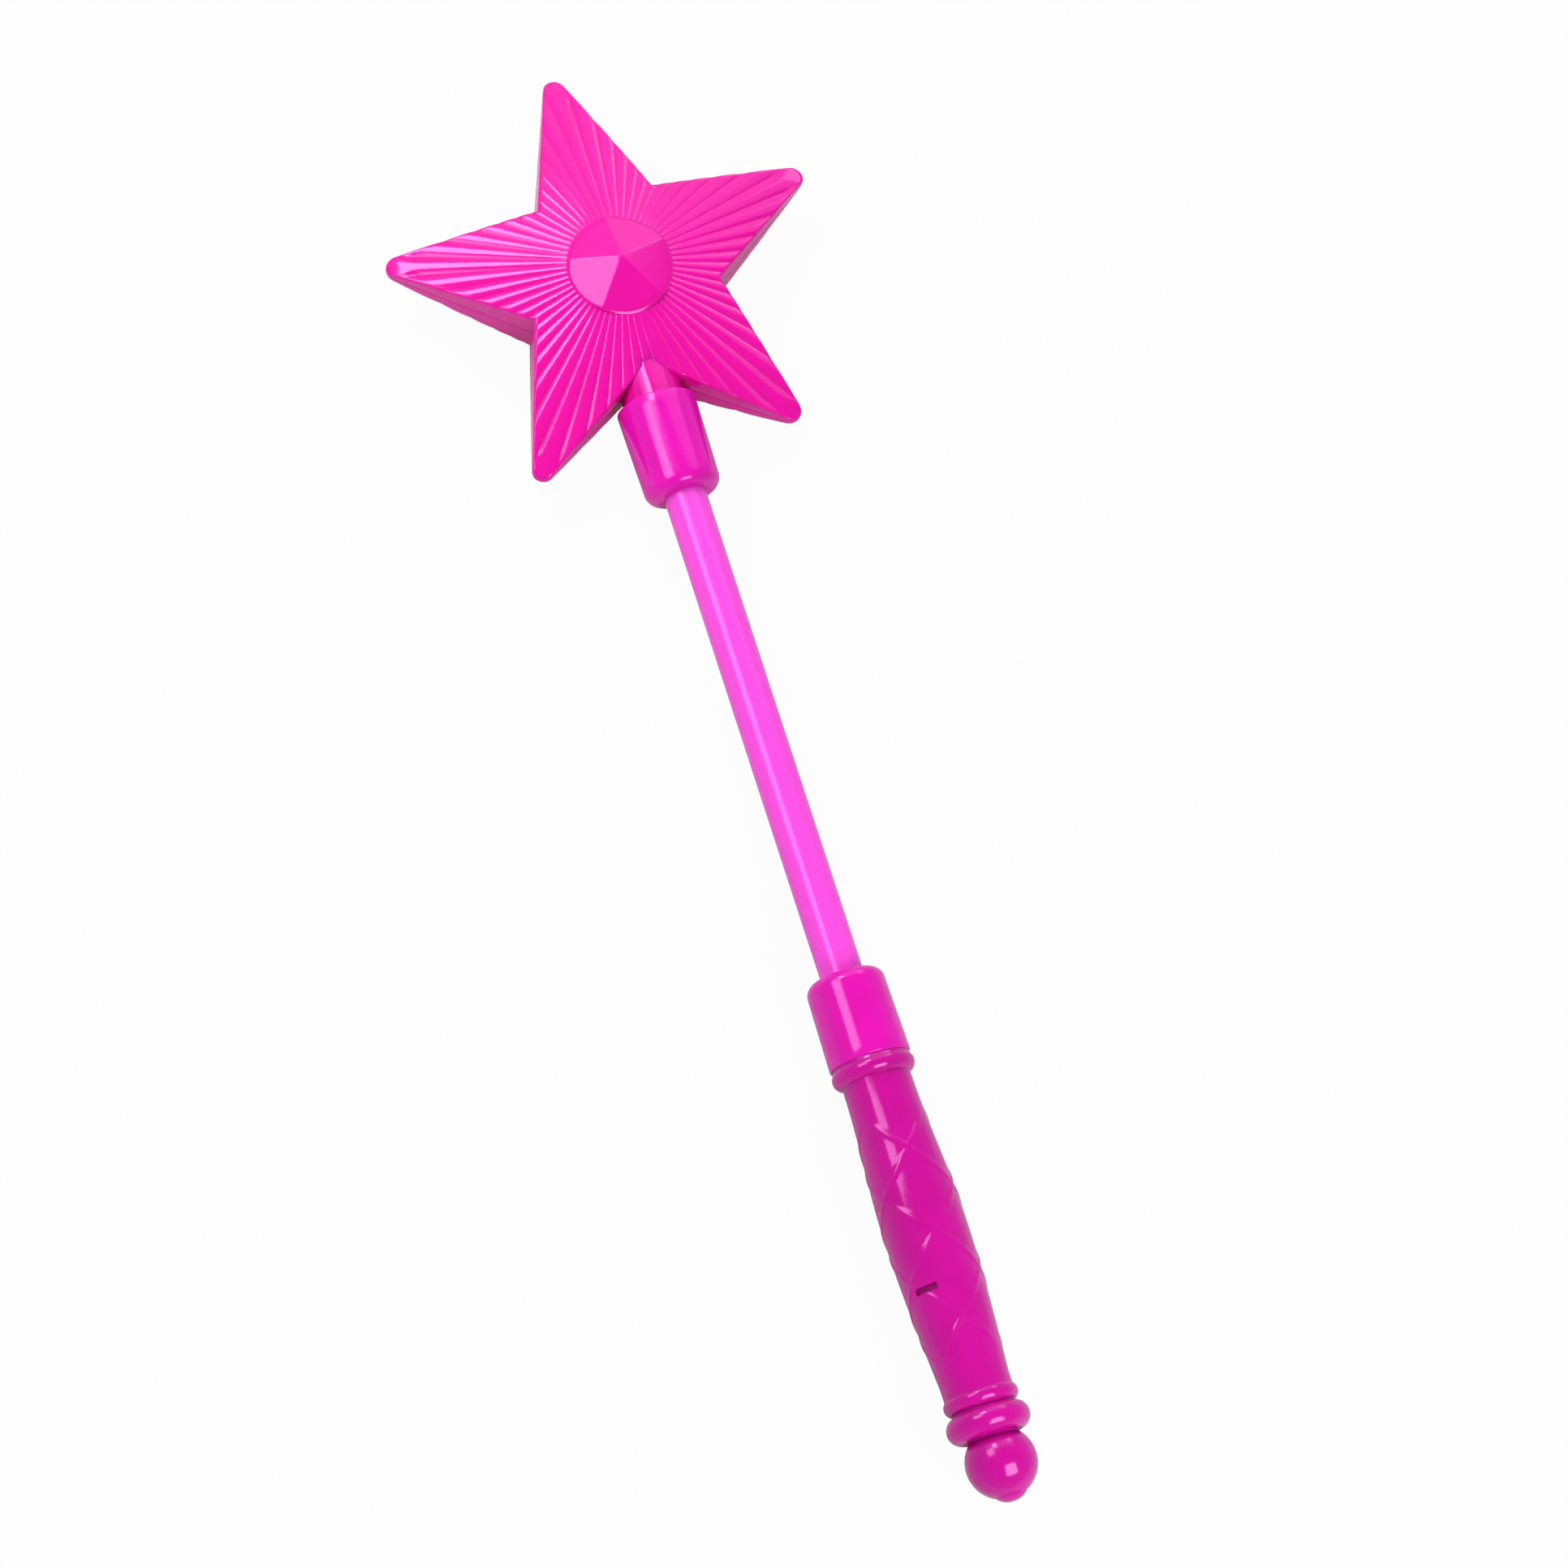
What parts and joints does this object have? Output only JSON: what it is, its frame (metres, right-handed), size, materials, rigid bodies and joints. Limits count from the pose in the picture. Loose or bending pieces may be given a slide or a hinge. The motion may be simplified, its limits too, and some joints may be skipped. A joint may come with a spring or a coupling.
{
  "type": "toy magic wand",
  "caption": "Toy wand with a ribbed hollow star head on a tube stem, and a battery handle that ends in a sprung ball push-button lighting a lamp inside the star.",
  "frame": {"origin": "bottom centre of the box round the wand lying on its back: under the stem at half length, at the height of the lowest point of the star's back", "axes": "+X across the star, +Y along the wand towards the star, +Z out of the star's front face"},
  "size_m": [0.1134, 0.3896, 0.0336],
  "materials": {
    "star_plastic": "glossy translucent pink",
    "ferrule_plastic": "glossy pink",
    "stem_plastic": "glossy light pink",
    "grip_plastic": "glossy deep pink",
    "white_plastic": "matte white",
    "lamp_lens": "clear lens",
    "bright_metal": "plated",
    "red_insulation": "satin",
    "black_plastic": "matte black",
    "board": "coated laminate"
  },
  "bodies": {
    "wand": {"star_front_shell": "star_plastic", "star_rear_shell": "star_plastic", "lamp_holder": "white_plastic", "star_lamp": "lamp_lens", "lamp_leads": "bright_metal", "head_ferrule": "ferrule_plastic", "stem_tube": "stem_plastic", "red_wire": "red_insulation", "black_wire": "black_plastic", "handle_ferrule": "ferrule_plastic", "handle_front_shell": "grip_plastic", "handle_rear_shell": "grip_plastic", "handle_screws": "bright_metal", "cell_sleeve": "white_plastic", "cell_lower": "bright_metal", "cell_middle": "bright_metal", "cell_upper": "bright_metal", "contact_spring": "bright_metal", "contact_plate": "bright_metal", "switch_board": "board", "switch_body": "black_plastic", "switch_pins": "bright_metal", "flasher_chip": "black_plastic", "button_spring": "bright_metal"},
    "button": {"ball_button": "grip_plastic", "switch_plunger": "black_plastic"}
  },
  "joints": [
    {"name": "button_press", "type": "slide", "parent": "wand", "child": "button", "axis": [0, 1, 0], "range_m": [0, 0.0015], "stiffness_N_per_m": 800, "springref_m": -0.0012, "deforming": ["button_spring"]}
  ]
}
